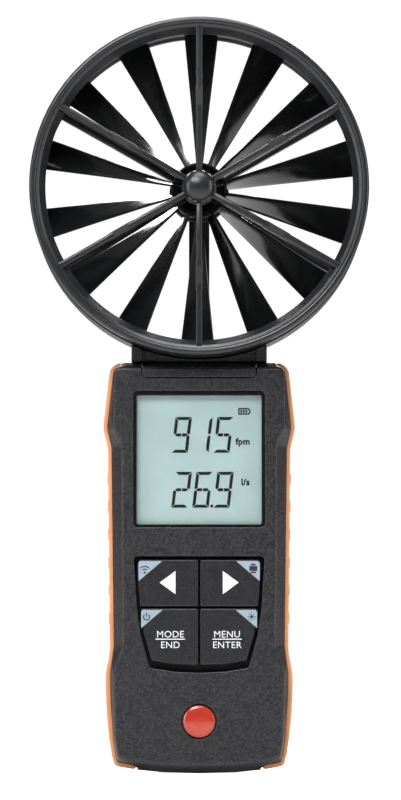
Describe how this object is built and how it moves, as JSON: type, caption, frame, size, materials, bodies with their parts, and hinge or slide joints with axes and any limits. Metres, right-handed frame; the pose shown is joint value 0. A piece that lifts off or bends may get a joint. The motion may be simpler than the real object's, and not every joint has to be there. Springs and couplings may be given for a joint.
{
  "type": "vane anemometer",
  "caption": "Hand-held vane anemometer: a caged measuring wheel in a round duct on a battery-powered display unit with four keys and soft side grips.",
  "frame": {"origin": "under the middle of the housing's lower end, on the level of its lowest point", "axes": "+Z from the housing up to the wheel, +Y away from the reader through the back, +X to the reader's right"},
  "size_m": [0.105, 0.046, 0.2337],
  "materials": {
    "charcoal": "fine-grained moulded plastic",
    "duct_grey": "satin moulded plastic",
    "blade_black": "glossy black",
    "grip_orange": "soft matt elastomer",
    "key_black": "fine-grained with printed labels",
    "window_clear": "clear polished",
    "lcd_green": "pale green-blue display",
    "backlight_white": "white",
    "board_green": "solder mask",
    "silicone_black": "matt",
    "badge_red": "plain glossy red",
    "steel": "plated",
    "brass": "turned",
    "cell_sleeve": "printed sleeve"
  },
  "bodies": {
    "housing": {"duct_front": "duct_grey", "duct_rear": "duct_grey", "guard_strut_front_1": "duct_grey", "guard_strut_front_2": "duct_grey", "guard_strut_front_3": "duct_grey", "guard_strut_front_4": "duct_grey", "guard_strut_front_5": "duct_grey", "guard_strut_front_6": "duct_grey", "guard_strut_rear_1": "duct_grey", "guard_strut_rear_2": "duct_grey", "guard_strut_rear_3": "duct_grey", "guard_strut_rear_4": "duct_grey", "guard_strut_rear_6": "duct_grey", "guard_strut_lead": "duct_grey", "guard_nose": "duct_grey", "sensor_pod": "duct_grey", "pickup_coil": "brass", "bearing_front": "brass", "bearing_rear": "brass", "neck": "charcoal", "shell_front": "charcoal", "shell_rear": "charcoal", "grip_left": "grip_orange", "grip_right": "grip_orange", "display_window": "window_clear", "lcd_panel": "lcd_green", "lcd_backlight": "backlight_white", "main_board": "board_green", "key_mat": "silicone_black", "badge": "badge_red", "battery_tray": "charcoal", "contact_plate": "steel", "battery_cell_1": "cell_sleeve", "battery_cell_2": "cell_sleeve", "battery_cell_3": "cell_sleeve", "housing_screw_1": "steel", "housing_screw_2": "steel", "housing_screw_3": "steel", "housing_screw_4": "steel"},
    "rotor": {"rotor_shaft": "steel", "rotor_hub": "blade_black", "rotor_blade_01": "blade_black", "rotor_blade_02": "blade_black", "rotor_blade_03": "blade_black", "rotor_blade_04": "blade_black", "rotor_blade_05": "blade_black", "rotor_blade_06": "blade_black", "rotor_blade_07": "blade_black", "rotor_blade_08": "blade_black", "rotor_blade_09": "blade_black", "rotor_blade_10": "blade_black", "rotor_blade_11": "blade_black", "rotor_blade_12": "blade_black", "rotor_blade_13": "blade_black", "rotor_blade_14": "blade_black"},
    "left_key": {"key_left": "key_black"},
    "right_key": {"key_right": "key_black"},
    "mode_key": {"key_mode": "key_black"},
    "menu_key": {"key_menu": "key_black"},
    "door": {"battery_door": "charcoal"}
  },
  "joints": [
    {"name": "rotor_spin", "type": "hinge", "parent": "housing", "child": "rotor", "pos_m": [0, -0.005, 0.1812], "axis": [0, 1, 0], "continuous": true},
    {"name": "left_key_press", "type": "slide", "parent": "housing", "child": "left_key", "axis": [0, 1, 0], "range_m": [0, 0.0008], "stiffness_N_per_m": 1500, "springref_m": -0.0004},
    {"name": "right_key_press", "type": "slide", "parent": "housing", "child": "right_key", "axis": [0, 1, 0], "range_m": [0, 0.0008], "stiffness_N_per_m": 1500, "springref_m": -0.0004},
    {"name": "mode_key_press", "type": "slide", "parent": "housing", "child": "mode_key", "axis": [0, 1, 0], "range_m": [0, 0.0008], "stiffness_N_per_m": 1500, "springref_m": -0.0004},
    {"name": "menu_key_press", "type": "slide", "parent": "housing", "child": "menu_key", "axis": [0, 1, 0], "range_m": [0, 0.0008], "stiffness_N_per_m": 1500, "springref_m": -0.0004},
    {"name": "door_slide", "type": "slide", "parent": "housing", "child": "door", "axis": [0, 0, -1], "range_m": [0, 0.075]}
  ]
}
